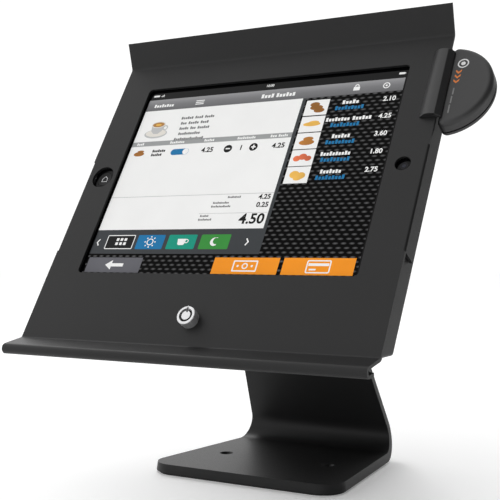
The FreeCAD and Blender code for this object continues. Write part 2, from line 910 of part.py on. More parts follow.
# ---- front cover ----
def cover_face_line():
    """Corners of the cover's front face, from the header's lip down to the end of the ledge's hem."""
    header = math.radians(header_bend_deg)
    ledge = math.radians(ledge_bend_deg)
    out_y = -math.cos(ledge)
    out_z = math.sin(ledge)
    under_y = -out_z
    under_z = out_y
    front = (out_y * (ledge_length + hem_radius), out_z * (ledge_length + hem_radius))
    under = (front[0] + 2 * hem_radius * under_y, front[1] + 2 * hem_radius * under_z)
    back_length = hem_radius + hem_return
    return [
        (header_y + header_length * math.cos(header), header_length * math.sin(header)),
        (header_y, 0),
        (0, 0),
        front,
        under,
        (under[0] - out_y * back_length, under[1] - out_z * back_length),
    ]


def side_flange():
    """Edge of the window plate folded back over the tray's right side."""
    y_range = (side_flange_bottom, side_flange_top)
    arm = block((cover_side - side_flange_arm, cover_side), y_range, (-sheet, 0))
    wall = block((cover_side - sheet, cover_side), y_range, (-side_flange_depth, 0))
    corner = arm.fuse(wall).removeSplitter()
    outer_edge = []
    for edge in edges_along(corner, Vector(0, 1, 0)):
        if edge.BoundBox.XMin > cover_side - EPSILON and edge.BoundBox.ZMin > -EPSILON:
            outer_edge.append(edge)
    return corner.makeFillet(side_flange_bend_radius, outer_edge)


def front_cover():
    radii = [header_bend_radius, ledge_bend_radius, hem_radius, hem_radius]
    plate = bent_sheet(cover_face_line(), radii, sheet, (-cover_side, cover_side))
    through_z = (-sheet - THROUGH, THROUGH)
    flange_y = (side_flange_bottom, side_flange_top)
    right_strip = block((cover_side - side_flange_arm, cover_side + THROUGH), flange_y, through_z)
    flange = side_flange()
    plate = cut_all(plate, [right_strip, mirrored(right_strip)])
    plate = fused([plate, flange, mirrored(flange)])
    window_x = around(0, window_width)
    window_y = around(tablet_middle, window_height)
    notch_y, notch_z = cable_notch_ranges()
    notch_z = (-side_flange_depth - THROUGH, notch_z[1])
    tools = [
        rounded_block(window_x, window_y, through_z, window_corner_radius),
        rod_along_z(home_opening_radius, home_x, tablet_middle, through_z),
        rod_along_z(camera_opening_radius, camera_x, tablet_middle, through_z),
        rod_along_z(lock_barrel_radius + lock_opening_clearance, 0, lock_height, through_z),
        block((-cover_side - THROUGH, -cover_side + sheet + THROUGH), notch_y, notch_z),
    ]
    return cut_all(plate, tools)


def window_gasket():
    z_range = (-sheet - window_gasket_thickness, -sheet)
    outer_x = around(0, window_width + 2 * window_gasket_width)
    outer_y = around(tablet_middle, window_height + 2 * window_gasket_width)
    outer = rounded_block(outer_x, outer_y, z_range, window_corner_radius + window_gasket_width)
    inner_x = around(0, window_width + 2 * window_gasket_setback)
    inner_y = around(tablet_middle, window_height + 2 * window_gasket_setback)
    return outer.cut(rounded_block(inner_x, inner_y, z_range, window_corner_radius))


def reader_clip():
    """Block on the plate's right edge, with a sloping lip that laps over the card reader's flat side."""
    inner_x = cover_side - clip_inner_margin
    outer_x = cover_side + clip_outer_margin
    hook_x = cover_side + clip_hook_clearance
    hook_end = reader_front + clip_hook_gap
    shoulder = clip_height - clip_shoulder_drop
    outline = [
        (inner_x, 0),
        (inner_x, clip_inner_lip),
        (inner_x + clip_ramp, shoulder),
        (cover_side - clip_outer_margin, clip_height),
        (cover_side, shoulder),
        (outer_x, 0),
        (outer_x, hook_end),
        (hook_x, hook_end),
        (hook_x, 0),
    ]
    return prism_along_y(outline, around(reader_y + clip_above_reader_middle, clip_length))


# ---- lock ----
def lock_housing():
    head = rod_along_z(lock_head_radius, 0, lock_height, (lock_head_start, lock_head_end))
    rim = [edge for edge in head.Edges if edge.BoundBox.ZMin > lock_head_end - EPSILON]
    head = head.makeFillet(lock_head_round, rim)
    collar = rod_along_z(lock_collar_radius + lock_collar_lip, 0, lock_height, (0, lock_head_start))
    flat_y = around(lock_height, lock_collar_flat_height)
    flat = block((lock_collar_radius, 2 * lock_collar_radius), flat_y, (-THROUGH, lock_head_start))
    collar = cut_all(collar, [flat, mirrored(flat)])
    barrel = rod_along_z(lock_barrel_radius, 0, lock_height, (lock_barrel_end, 0))
    bore = rod_along_z(lock_bore_radius, 0, lock_height, (lock_barrel_end - THROUGH, lock_head_end + THROUGH))
    keyway_y = (lock_height, lock_height + lock_bore_radius + lock_keyway_depth)
    keyway_z = (lock_head_start + lock_keyway_above_collar, lock_head_end + THROUGH)
    keyway = block(around(0, lock_keyway_width), keyway_y, keyway_z)
    return cut_all(fused([head, collar, barrel]), [bore, keyway])


def lock_nut():
    z_range = (-sheet - lock_nut_height, -sheet)
    bore_radius = lock_barrel_radius + thread_gap
    return hexagon_nut(Vector(0, lock_height, 0), lock_nut_across_flats, z_range, bore_radius)


def lock_pin_places():
    ring_radius = (lock_bore_radius - lock_running_clearance + lock_post_radius) / 2
    places = []
    for index in range(lock_pin_count):
        angle = 2 * math.pi * (index + 0.5) / lock_pin_count
        places.append((ring_radius * math.sin(angle), lock_height + ring_radius * math.cos(angle)))
    return places


def lock_core():
    core_radius = lock_bore_radius - lock_running_clearance
    drum = rod_along_z(core_radius, 0, lock_height, (lock_barrel_end, lock_ring_end))
    post = rod_along_z(lock_post_radius, 0, lock_height, (lock_ring_end, lock_post_end))
    neck = rod_along_z(lock_neck_radius, 0, lock_height, (tbar_front, lock_barrel_end))
    core = fused([drum, post, neck])
    tools = [rod_along_z(tbar_screw_radius, 0, lock_height, (tbar_front - THROUGH, lock_barrel_end + tbar_screw_bite))]
    post_top = lock_height + lock_post_radius
    notch_z = (lock_ring_end + lock_notch_above_ring, lock_post_end + THROUGH)
    tools.append(block(around(0, lock_notch_width), (post_top - lock_notch_depth, post_top + THROUGH), notch_z))
    for x, y in lock_pin_places():
        tools.append(rod_along_z(lock_pin_radius, x, y, (lock_ring_end - lock_pin_depth, lock_ring_end + THROUGH)))
    return cut_all(core, tools)


def lock_pins():
    pins = []
    for x, y in lock_pin_places():
        pin_z = (lock_ring_end - lock_pin_depth, lock_ring_end - lock_pin_recess)
        pins.append(rod_along_z(lock_pin_radius, x, y, pin_z))
    return Part.makeCompound(pins)


def lock_tbar():
    x_range = around(0, tbar_length)
    y_range = around(lock_height, tbar_width)
    bar = rounded_block(x_range, y_range, (tbar_back, tbar_front), tbar_corner_radius)
    return bar.cut(rod_along_z(tbar_screw_radius, 0, lock_height, (tbar_back - THROUGH, tbar_front + THROUGH)))


def tbar_screw():
    head = rod_along_z(tbar_screw_head_radius, 0, lock_height, (tbar_back - tbar_screw_head_height, tbar_back))
    shank = rod_along_z(tbar_screw_radius, 0, lock_height, (tbar_back, lock_barrel_end + tbar_screw_bite))
    return head.fuse(shank).removeSplitter()


# ---- card reader ----
def edges_at_height(shape, z):
    return [edge for edge in shape.Edges if abs(edge.BoundBox.ZMin - z) + abs(edge.BoundBox.ZMax - z) < EPSILON]


def half_disc(radius, flat_x, z_range, corner_radius=0, front_round=0, back_round=0):
    """Disc about the reader's centre, cut off at its flat left side, with rounded corners and rims."""
    low, high = z_range
    center = Vector(reader_center_x, reader_y, 0)
    disc = rod_along_z(radius, center.x, center.y, (low, high))
    reach = 2 * radius
    waste = block((center.x - reach, flat_x), around(center.y, 2 * reach), (low - THROUGH, high + THROUGH))
    disc = disc.cut(waste)
    if corner_radius:
        corners = [edge for edge in edges_along(disc, Vector(0, 0, 1)) if edge.BoundBox.XMax < flat_x + EPSILON]
        disc = disc.makeFillet(corner_radius, corners)
    if front_round:
        disc = disc.makeFillet(front_round, edges_at_height(disc, high))
    if back_round:
        disc = disc.makeFillet(back_round, edges_at_height(disc, low))
    return disc


def reader_plug_hole():
    x_range = (reader_flat_x - THROUGH, reader_flat_x + reader_wall + THROUGH)
    return rod_along_x(reader_collar_radius, jack_y, edge_middle, x_range)


def reader_screw_places():
    inner_radius = reader_radius - swipe_slot_depth - reader_post_inside_slot
    x = reader_flat_x + reader_wall + reader_post_from_wall
    return [(x, reader_y - inner_radius), (x + reader_post_step, reader_y)]


def reader_posts(radius, z_range):
    return [rod_along_z(radius, x, y, z_range) for x, y in reader_screw_places()]


def reader_front_shell():
    outer_z = (reader_split, reader_front)
    outer = half_disc(reader_radius, reader_flat_x, outer_z, reader_corner_radius, front_round=reader_front_round)
    inner_flat = reader_flat_x + reader_wall
    cavity_z = (reader_split + swipe_slot_wall, reader_front - reader_wall)
    cavity_corner = reader_corner_radius - reader_wall
    cavity = half_disc(reader_radius - reader_front_round, inner_flat, cavity_z, cavity_corner)
    mouth_z = (reader_split - THROUGH, cavity_z[0])
    mouth = half_disc(reader_radius - swipe_slot_depth - reader_wall, inner_flat, mouth_z)
    shell = cut_all(outer, [cavity, mouth])
    shell = fused([shell] + reader_posts(reader_post_radius, (reader_split, cavity_z[1] + reader_post_joint)))
    tools = reader_posts(reader_screw_radius, (reader_split - THROUGH, reader_split + reader_screw_bite))
    head_window = block(*head_ranges(reader_head_side_clearance))
    return cut_all(shell, tools + [head_window, reader_plug_hole()])


def reader_rear_shell():
    outer_z = (reader_back, reader_slot_back)
    outer = half_disc(reader_radius, reader_flat_x, outer_z, reader_corner_radius, back_round=reader_back_round)
    step = half_disc(reader_radius - swipe_slot_depth, reader_flat_x, (reader_slot_back, reader_split))
    outer = fused([outer, step])
    inner_flat = reader_flat_x + reader_wall
    cavity_z = (reader_back + reader_wall, reader_split + THROUGH)
    cavity = half_disc(reader_radius - swipe_slot_depth - reader_wall, inner_flat, cavity_z)
    shell = outer.cut(cavity)
    shell = fused([shell] + reader_posts(reader_post_radius, (reader_back + reader_wall / 2, reader_split)))
    tools = reader_posts(reader_screw_radius, (reader_back - THROUGH, reader_split + THROUGH))
    sink_radius = reader_screw_radius + reader_screw_head + reader_screw_head_clearance
    tools += reader_posts(sink_radius, (reader_back - THROUGH, reader_screw_seat()))
    return cut_all(shell, tools + [reader_plug_hole()])


def reader_screw_seat():
    return reader_back + reader_screw_head_clearance + reader_screw_head_height


def reader_screws():
    screws = []
    seat = reader_screw_seat()
    for x, y in reader_screw_places():
        head = rod_along_z(reader_screw_radius + reader_screw_head, x, y, (seat - reader_screw_head_height, seat))
        shank = rod_along_z(reader_screw_radius, x, y, (seat, reader_split + reader_screw_bite))
        screws.append(head.fuse(shank).removeSplitter())
    return Part.makeCompound(screws)


def reader_plug():
    tip_x = tablet_side - jack_plug_length
    collar_x = (tablet_side + plug_collar_start, reader_flat_x + reader_wall)
    shaft = rod_along_x(jack_plug_radius, jack_y, edge_middle, (tip_x, collar_x[0]))
    tip = [edge for edge in shaft.Edges if edge.BoundBox.XMax < tip_x + EPSILON]
    shaft = shaft.makeChamfer(plug_tip_chamfer, tip)
    collar = rod_along_x(reader_collar_radius - plug_collar_gap, jack_y, edge_middle, collar_x)
    root = rod_along_x(plug_root_radius, jack_y, edge_middle, (collar_x[1], collar_x[1] + plug_root_length))
    return fused([shaft, collar, root])


def reader_board():
    low_x = reader_flat_x + reader_wall + reader_board_gap
    x_range = (low_x, low_x + reader_board_length)
    y_range = (reader_y - reader_board_below_middle, jack_y - reader_collar_radius - reader_board_plug_gap)
    low_z = reader_split + reader_board_above_split
    z_range = (low_z, low_z + reader_board_thickness)
    board = block(x_range, y_range, z_range)
    width, height, thickness = reader_chip_size
    chip_y = around(sum(y_range) / 2 - reader_chip_below_middle, height)
    chip = block(around(sum(x_range) / 2, width), chip_y, (z_range[1], z_range[1] + thickness))
    posts = reader_posts(reader_post_radius + inner_gap, (z_range[0] - THROUGH, z_range[1] + thickness + THROUGH))
    return cut_all(fused([board, chip]), posts)


def head_ranges(clearance):
    corner = (reader_radius - swipe_slot_depth + reader_head_step_gap) / math.sqrt(2)
    reach = corner + reader_head_width / 2
    width = reader_head_width + 2 * clearance
    x_range = around(reader_center_x + reach, width)
    y_range = around(reader_y - reach, width)
    return x_range, y_range, (reader_split - reader_head_proud, reader_split + reader_head_height)


def reader_head():
    return block(*head_ranges(0))


def reader_head_spring():
    x_range, y_range, z_range = head_ranges(0)
    post_side = reader_screw_places()[0][0] + reader_post_radius
    reach_x = (post_side + reader_spring_post_gap, x_range[1] - reader_spring_setback)
    spring_y = around(sum(y_range) / 2, reader_head_width / 2)
    return block(reach_x, spring_y, (z_range[1], z_range[1] + reader_spring_thickness))


NODES = {
    "base_stand": base_stand,
    "base_pad": base_pad,
    "rear_tray": lambda: on_panel(rear_tray()),
    "tray_screws": lambda: on_panel(tray_screws()),
    "tray_nuts": lambda: on_panel(tray_nuts()),
    "tray_knuckles": lambda: on_panel(tray_knuckles()),
    "hinge_pins": lambda: on_panel(hinge_pins()),
    "strike_bracket": lambda: on_panel(strike_bracket()),
    "tablet_pads": lambda: on_panel(tablet_pads()),
    "tablet_rests": lambda: on_panel(tablet_rests()),
    "tablet_rear_shell": lambda: on_panel(tablet_rear_shell()),
    "tablet_gasket": lambda: on_panel(tablet_gasket()),
    "tablet_cover_glass": lambda: on_panel(tablet_cover_glass()),
    "tablet_display": lambda: on_panel(tablet_display()),
    "tablet_battery": lambda: on_panel(tablet_battery()),
    "tablet_logic_board": lambda: on_panel(tablet_logic_board()),
    "tablet_front_camera": lambda: on_panel(tablet_front_camera()),
    "tablet_dock_connector": lambda: on_panel(tablet_dock_connector()),
    "tablet_headphone_jack": lambda: on_panel(tablet_headphone_jack()),
    "tablet_speaker": lambda: on_panel(tablet_speaker()),
    "home_button_switch": lambda: on_panel(home_button_switch()),
    "home_button": lambda: on_panel(home_button()),
    "power_button": lambda: on_panel(power_button()),
    "volume_rocker": lambda: on_panel(volume_rocker()),
    "mute_switch": lambda: on_panel(mute_switch()),
    "front_cover": lambda: on_panel(front_cover()),
    "window_gasket": lambda: on_panel(window_gasket()),
    "cover_knuckles": lambda: on_panel(cover_knuckles()),
    "reader_clip": lambda: on_panel(reader_clip()),
    "lock_housing": lambda: on_panel(lock_housing()),
    "lock_nut": lambda: on_panel(lock_nut()),
    "lock_core": lambda: on_panel(lock_core()),
    "lock_pins": lambda: on_panel(lock_pins()),
    "lock_tbar": lambda: on_panel(lock_tbar()),
    "tbar_screw": lambda: on_panel(tbar_screw()),
    "reader_front_shell": lambda: on_panel(reader_front_shell()),
    "reader_rear_shell": lambda: on_panel(reader_rear_shell()),
    "reader_screws": lambda: on_panel(reader_screws()),
    "reader_plug": lambda: on_panel(reader_plug()),
    "reader_board": lambda: on_panel(reader_board()),
    "reader_head": lambda: on_panel(reader_head()),
    "reader_head_spring": lambda: on_panel(reader_head_spring()),
}

os.makedirs("parts", exist_ok=True)
for node, make in NODES.items():
    shape = make()
    shape.exportStep(f"parts/{node}.step")
    box = shape.BoundBox
    print(f"{node}: {len(shape.Solids)} solid(s), valid {shape.isValid()}, {box.XLength:.1f} x"
          f" {box.YLength:.1f} x {box.ZLength:.1f} mm, volume {shape.Volume / 1000:.2f} cm3")
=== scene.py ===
import math

import bmesh
import bpy
from mathutils import Matrix, Vector


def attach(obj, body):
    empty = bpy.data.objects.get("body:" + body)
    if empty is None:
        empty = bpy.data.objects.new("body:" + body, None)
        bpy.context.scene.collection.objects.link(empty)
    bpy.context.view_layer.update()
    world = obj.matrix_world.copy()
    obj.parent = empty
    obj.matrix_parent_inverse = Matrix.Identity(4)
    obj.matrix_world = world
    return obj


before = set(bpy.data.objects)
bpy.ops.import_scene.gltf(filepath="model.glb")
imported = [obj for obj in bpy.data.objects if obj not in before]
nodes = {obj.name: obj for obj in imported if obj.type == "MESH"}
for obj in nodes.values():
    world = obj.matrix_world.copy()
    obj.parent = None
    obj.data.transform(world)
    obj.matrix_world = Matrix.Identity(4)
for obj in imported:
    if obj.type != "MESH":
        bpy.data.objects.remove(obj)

for leftover in ("Cube", "Light", "Camera"):
    if leftover in bpy.data.objects:
        bpy.data.objects.remove(bpy.data.objects[leftover])
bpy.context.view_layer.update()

MM = 0.001
LEAN = math.radians(31.9)                       # the enclosure leans back by this much
TILT = LEAN - math.pi / 2                       # turns row coordinates into panel coordinates
PANEL_ORIGIN = Vector((0, -114, 93.7))          # mm
ALONG = Vector((1, 0, 0))
UP = Vector((0, math.sin(LEAN), math.cos(LEAN)))
OUT = Vector((0, -math.cos(LEAN), math.sin(LEAN)))
GLASS = -2.5                                    # front of the tablet's glass, below the cover's face
LAYER = 0.04                                    # thickness of one picture layer on the glass
HOME_KEY = (-111.1, 125.85)                     # centres on the panel: across and up, mm
CAMERA_EYE = (110.6, 125.85)
LOCK_V = 17.5                                   # height of the lock's axis on the panel


# ---------------------------------------------------------------- camera
CAMERA_PLACE = (0.3242, -0.5934, 0.1506)        # m
CAMERA_DIRECTION = (-0.5019, 0.8649, -0.0013)
CAMERA_LENS = 71.35                             # mm, on a sensor 36 mm wide


def add_camera():
    data = bpy.data.cameras.new("camera")
    data.lens = CAMERA_LENS
    data.sensor_width = 36
    data.dof.use_dof = False
    data.clip_start, data.clip_end = 0.01, 50
    camera = bpy.data.objects.new("camera", data)
    bpy.context.collection.objects.link(camera)
    forward = Vector(CAMERA_DIRECTION).normalized()
    right = forward.cross(Vector((0, 0, 1))).normalized()
    above = right.cross(forward)
    turn = Matrix((right, above, -forward)).transposed()
    camera.matrix_world = Matrix.Translation(CAMERA_PLACE) @ turn.to_4x4()
    bpy.context.scene.camera = camera


add_camera()


# ---------------------------------------------------------------- materials
class Shader:
    """A principled material whose nodes are added one at a time."""

    def __init__(self, name, **sockets):
        self.material = bpy.data.materials.new(name)
        self.material.use_nodes = True
        self.tree = self.material.node_tree
        self.bsdf = self.tree.nodes["Principled BSDF"]
        for socket, value in sockets.items():
            entry = self.bsdf.inputs[socket.replace("_", " ")]
            entry.default_value = (*value, 1) if isinstance(value, tuple) and len(value) == 3 else value

    def add(self, kind, settings=(), inputs=()):
        node = self.tree.nodes.new("ShaderNode" + kind)
        for key, value in dict(settings).items():
            setattr(node, key, value)
        for key, value in dict(inputs).items():
            if isinstance(value, bpy.types.NodeSocket):
                self.tree.links.new(value, node.inputs[key])
            else:
                node.inputs[key].default_value = value
        return node

    def drive(self, socket, source):
        self.tree.links.new(source, self.bsdf.inputs[socket])

    def place(self, panel=False):
        """Object coordinates in metres, or in mm along the panel: X across it, Y up it, Z out of it."""
        coordinates = self.add("TexCoord")
        rotation = (TILT, 0, 0) if panel else (0, 0, 0)
        scale = 1 / MM if panel else 1
        return self.add("Mapping", inputs={"Vector": coordinates.outputs["Object"], "Rotation": rotation,
                                           "Scale": (scale,) * 3}).outputs[0]

    def noise(self, where, scale, detail=3, roughness=0.55):
        return self.add("TexNoise", inputs={"Vector": where, "Scale": scale, "Detail": detail,
                                            "Roughness": roughness}).outputs["Fac"]

    def ramp(self, factor, *stops):
        node = self.add("ValToRGB", inputs={"Fac": factor})
        entries = node.color_ramp.elements
        while len(entries) < len(stops):
            entries.new(0.5)
        for entry, (position, colour) in zip(entries, stops):
            entry.position = position
            entry.color = (*colour, 1)
        return node.outputs["Color"]

    def between(self, factor, low, high, start=0.3, end=0.7):
        return self.add("MapRange", inputs={"Value": factor, "From Min": start, "From Max": end,
                                            "To Min": low, "To Max": high}).outputs["Result"]

    def mottle(self, scale, low, high, detail=3, where=None):
        """Drives the base colour by a noise that wanders between two colours."""
        if where is None:
            where = self.place()
        tint = self.ramp(self.noise(where, scale, detail), (0.3, low), (0.7, high))
        self.drive("Base Color", tint)
        return tint

    def bump(self, height, strength, distance):
        node = self.add("Bump", inputs={"Height": height, "Strength": strength, "Distance": distance})
        self.drive("Normal", node.outputs["Normal"])


def shade(colour, factor):
    return tuple(min(1, part * factor) for part in colour)


def grained(name, colour, spread, patch, grain, bump, rough, metallic=0.0, **more):
    """A solid finish: soft colour patches, a roughness that varies, and a fine grain.

    patch and grain are noise scales, bump is its strength and depth in metres, and rough the lowest and
    highest roughness.
    """
    shader = Shader(name, Metallic=metallic, **more)
    where = shader.place()
    shader.mottle(patch, shade(colour, 1 - spread), shade(colour, 1 + spread), 4, where)
    fine = shader.noise(where, grain)
    shader.drive("Roughness", shader.between(fine, *rough))
    shader.bump(fine, *bump)
    return shader.material


powder = grained("powder coat", (0.0115, 0.0115, 0.0118), 0.08, 14, 2100, (0.30, 0.00006), (0.40, 0.52),
                 Specular_IOR_Level=0.28)
rubber = grained("rubber", (0.010, 0.010, 0.010), 0.25, 60, 1500, (0.4, 0.00008), (0.7, 0.9))
zinc = grained("zinc plated steel", (0.52, 0.52, 0.55), 0.12, 90, 1600, (0.15, 0.00002), (0.22, 0.38), 1.0)
foam = grained("closed-cell foam", (0.035, 0.035, 0.037), 0.3, 400, 1300, (0.8, 0.0002), (0.85, 1.0))
aluminium = grained("bead-blasted aluminium", (0.62, 0.62, 0.64), 0.05, 30, 3600, (0.25, 0.00003),
                    (0.32, 0.42), 1.0)
plastic = grained("black plastic", (0.014, 0.014, 0.015), 0.15, 50, 1800, (0.2, 0.00003), (0.35, 0.5))
glass = grained("black glass", (0.0012, 0.0012, 0.0014), 0.2, 12, 300, (0.02, 0.00001), (0.03, 0.06),
                Specular_IOR_Level=0.12)
panel_glass = grained("display", (0.012, 0.012, 0.014), 0.2, 12, 300, (0.02, 0.00001), (0.05, 0.09),
                      Coat_Weight=1.0)
wrap = grained("battery wrap", (0.07, 0.07, 0.075), 0.15, 40, 900, (0.3, 0.00005), (0.4, 0.6))
board = grained("circuit board", (0.012, 0.075, 0.03), 0.25, 300, 1200, (0.3, 0.00005), (0.3, 0.5))
key_gloss = grained("glossy key", (0.003, 0.003, 0.0032), 0.15, 40, 900, (0.05, 0.00001), (0.1, 0.16),
                    Specular_IOR_Level=0.15)
clip = grained("clip plastic", (0.016, 0.016, 0.0165), 0.12, 30, 1700, (0.25, 0.00004), (0.3, 0.42))
chrome = grained("chrome", (0.72, 0.72, 0.73), 0.06, 120, 700, (0.04, 0.00001), (0.12, 0.25), 0.6)
pin_steel = grained("lock pin steel", (0.09, 0.09, 0.095), 0.2, 400, 1500, (0.1, 0.00001), (0.3, 0.45), 1.0)
reader_skin = grained("reader plastic", (0.021, 0.021, 0.0215), 0.12, 25, 2300, (0.4, 0.00005), (0.38, 0.52))
brass = grained("plated contacts", (0.75, 0.56, 0.25), 0.08, 100, 900, (0.05, 0.00001), (0.15, 0.28), 1.0)

BY_SLOT = {"black_powder_coat": powder, "black_rubber": rubber, "zinc_steel": zinc, "grey_foam": foam,
           "tablet_aluminium": aluminium, "black_plastic": plastic, "black_glass": glass,
           "screen_panel": panel_glass, "battery_wrap": wrap, "board_green": board,
           "button_gloss_black": key_gloss, "clip_plastic": clip, "lock_chrome": chrome,
           "reader_plastic": reader_skin, "plug_metal": brass}


def chrome_with_painted_keyway_shade():
    """Chrome with painted shade in the ring-shaped keyway around the lock's centre post, where shade falls.
    """
    shader = Shader("chrome with painted keyway shade", Metallic=0.6)
    where = shader.place(panel=True)
    centre = (0, PANEL_ORIGIN.dot(UP) + LOCK_V, 0)
    offset = shader.add("VectorMath", {"operation": "SUBTRACT"}, {0: where, 1: centre})
    flat = shader.add("VectorMath", {"operation": "MULTIPLY"}, {0: offset.outputs[0], 1: (1, 1, 0)})
    radius = shader.add("VectorMath", {"operation": "LENGTH"}, {0: flat.outputs[0]}).outputs["Value"]
    # The nearly black colour inside the keyway is painted shade, not the chrome's own colour.
    bright, keyway_shade = (0.72, 0.72, 0.73), (0.02, 0.02, 0.021)
    post_radius, ring_radius = 2.9, 4.6         # just past both walls of the keyway, mm
    across = shader.between(radius, 0, 1, post_radius, ring_radius)
    shader.drive("Base Color", shader.ramp(across, (0.0, bright), (0.07, keyway_shade), (0.84, keyway_shade), (0.93, bright)))
    shader.drive("Roughness", shader.between(shader.noise(shader.place(), 700), 0.1, 0.22))
    return shader.material


def dress_nodes():
    for node in nodes.values():
        for slot in node.material_slots:
            slot.material = BY_SLOT[slot.material.name.split(".")[0]]
    for name, finish in (("lock_core", chrome_with_painted_keyway_shade()), ("lock_pins", pin_steel)):
        for slot in nodes[name].material_slots:
            slot.material = finish


dress_nodes()


# ---------------------------------------------------------------- edges of the CAD nodes
def rejoin_group():
    """Joins the vertices that the file format splits, and clears its stored normals."""
    group = bpy.data.node_groups.new("rejoin", "GeometryNodeTree")
    group.interface.new_socket("Geometry", in_out="INPUT", socket_type="NodeSocketGeometry")
    group.interface.new_socket("Geometry", in_out="OUTPUT", socket_type="NodeSocketGeometry")
    start = group.nodes.new("NodeGroupInput")
    plain = group.nodes.new("GeometryNodeRemoveAttribute")
    plain.inputs["Name"].default_value = "custom_normal"
    merge = group.nodes.new("GeometryNodeMergeByDistance")
    merge.inputs["Distance"].default_value = 2e-6
    faces = group.nodes.new("GeometryNodeSetShadeSmooth")
    faces.domain = "FACE"
    edges = group.nodes.new("GeometryNodeSetShadeSmooth")
    edges.domain = "EDGE"
    end = group.nodes.new("NodeGroupOutput")
    chain = (start, plain, merge, faces, edges, end)
    for left, right in zip(chain, chain[1:]):
        group.links.new(left.outputs[0], right.inputs[0])
    return group


REJOIN = rejoin_group()


def soften(name, width, segments=2):
    """Rounds the sharp edges of a CAD node by a modifier and shades it smoothly."""
    node = nodes[name]
    node.modifiers.new("rejoin", "NODES").node_group = REJOIN
    flat = node.modifiers.new("flat faces", "DECIMATE")
    flat.decimate_type = "DISSOLVE"
    flat.angle_limit = math.radians(0.3)
    bevel = node.modifiers.new("edges", "BEVEL")
    bevel.width = width * MM
    bevel.segments = segments
    bevel.limit_method = "ANGLE"
    bevel.angle_limit = math.radians(35)
    bevel.use_clamp_overlap = True
    weight = node.modifiers.new("normals", "WEIGHTED_NORMAL")
    weight.keep_sharp = False


for softened, radius in {"front_cover": 0.35, "rear_tray": 0.3, "base_stand": 0.5, "strike_bracket": 0.3,
                         "base_pad": 0.2, "lock_housing": 0.15, "lock_core": 0.08,
                         "reader_clip": 0.35, "tablet_cover_glass": 0.1}.items():
    soften(softened, radius)


# ---------------------------------------------------------------- flat shapes on the panel
def on_panel(u, v, n):
    """A point on the panel from mm across it, up it and out of it."""
    return (PANEL_ORIGIN + ALONG * u + UP * v + OUT * n) * MM


def new_piece(name, mesh, material, body):
    mesh.materials.append(material)
    piece = bpy.data.objects.new(name, mesh)
    bpy.context.collection.objects.link(piece)
    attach(piece, body)
    return piece


def prism(build, outline, back, front):
    """A closed prism over an outline of (u, v) points."""
    low = [build.verts.new(on_panel(u, v, back)) for u, v in outline]
    high = [build.verts.new(on_panel(u, v, front)) for u, v in outline]
    build.faces.new(high)
    build.faces.new(low[::-1])
    count = len(outline)
    for i in range(count):
        j = (i + 1) % count
        build.faces.new((low[i], low[j], high[j], high[i]))


def ring(build, outer, inner, back, front, place=on_panel):
    """A closed band between two outlines with the same number of points."""
    rows = [[build.verts.new(place(u, v, level)) for u, v in outline]
            for outline, level in ((outer, back), (outer, front), (inner, front), (inner, back))]
    count = len(outer)
    for low, high in zip(rows, rows[1:] + rows[:1]):
        for i in range(count):
            j = (i + 1) % count
            build.faces.new((low[i], low[j], high[j], high[i]))


def arc(u, v, ru, rv, start, sweep, steps):
    """Points along a part of an ellipse, with its angles in degrees."""
    angles = [math.radians(start + sweep * i / steps) for i in range(steps + 1)]
    return [(u + ru * math.cos(angle), v + rv * math.sin(angle)) for angle in angles]


def oval(u, v, ru, rv=None, count=24):
    return arc(u, v, ru, rv or ru, 0, 360, count)[:-1]


def box_outline(u0, v0, u1, v1, radius=0.0):
    if not radius:
        return [(u0, v0), (u1, v0), (u1, v1), (u0, v1)]
    points = []
    for cu, cv, start in ((u1 - radius, v0 + radius, -90), (u1 - radius, v1 - radius, 0),
                          (u0 + radius, v1 - radius, 90), (u0 + radius, v0 + radius, 180)):
        points += arc(cu, cv, radius, radius, start, 90, 4)
    return points


DIGIT_HEIGHT = 0.73                             # of the built-in font's size
DIGIT_WEIGHT = 0.035                            # outline grown by this share of the height


def digits(build, text, u, v, height, back, front, align="CENTER"):
    """Plain numerals from the built-in font, as closed solids."""
    curve = bpy.data.curves.new("digits", "FONT")
    curve.body = text
    curve.size = height / DIGIT_HEIGHT
    curve.align_x = align
    curve.align_y = "CENTER"
    curve.extrude = 0.5
    curve.offset = DIGIT_WEIGHT * height
    curve.resolution_u = 3
    holder = bpy.data.objects.new("digits", curve)
    bpy.context.collection.objects.link(holder)
    bpy.context.view_layer.update()
    flat = bpy.data.meshes.new_from_object(holder.evaluated_get(bpy.context.evaluated_depsgraph_get()))
    bpy.data.objects.remove(holder)
    extra = bmesh.new()
    extra.from_mesh(flat)
    bmesh.ops.remove_doubles(extra, verts=extra.verts, dist=1e-4)
    for vertex in extra.verts:
        x, y, z = vertex.co
        vertex.co = on_panel(u + x, v + y, back if z < 0 else front)
    extra.to_mesh(flat)
    extra.free()
    build.from_mesh(flat)
    bpy.data.meshes.remove(flat)


# Heights of the blocks in an unreadable word, as shares of the word's height.
LETTER_RISE = (1.0, 0.72, 0.72, 1.0, 0.72, 0.88, 0.72, 0.72, 1.0, 0.72, 0.72)
LETTER_PITCH = 0.72                             # of a word's height
LETTER_WIDTH = 0.74                             # of the pitch


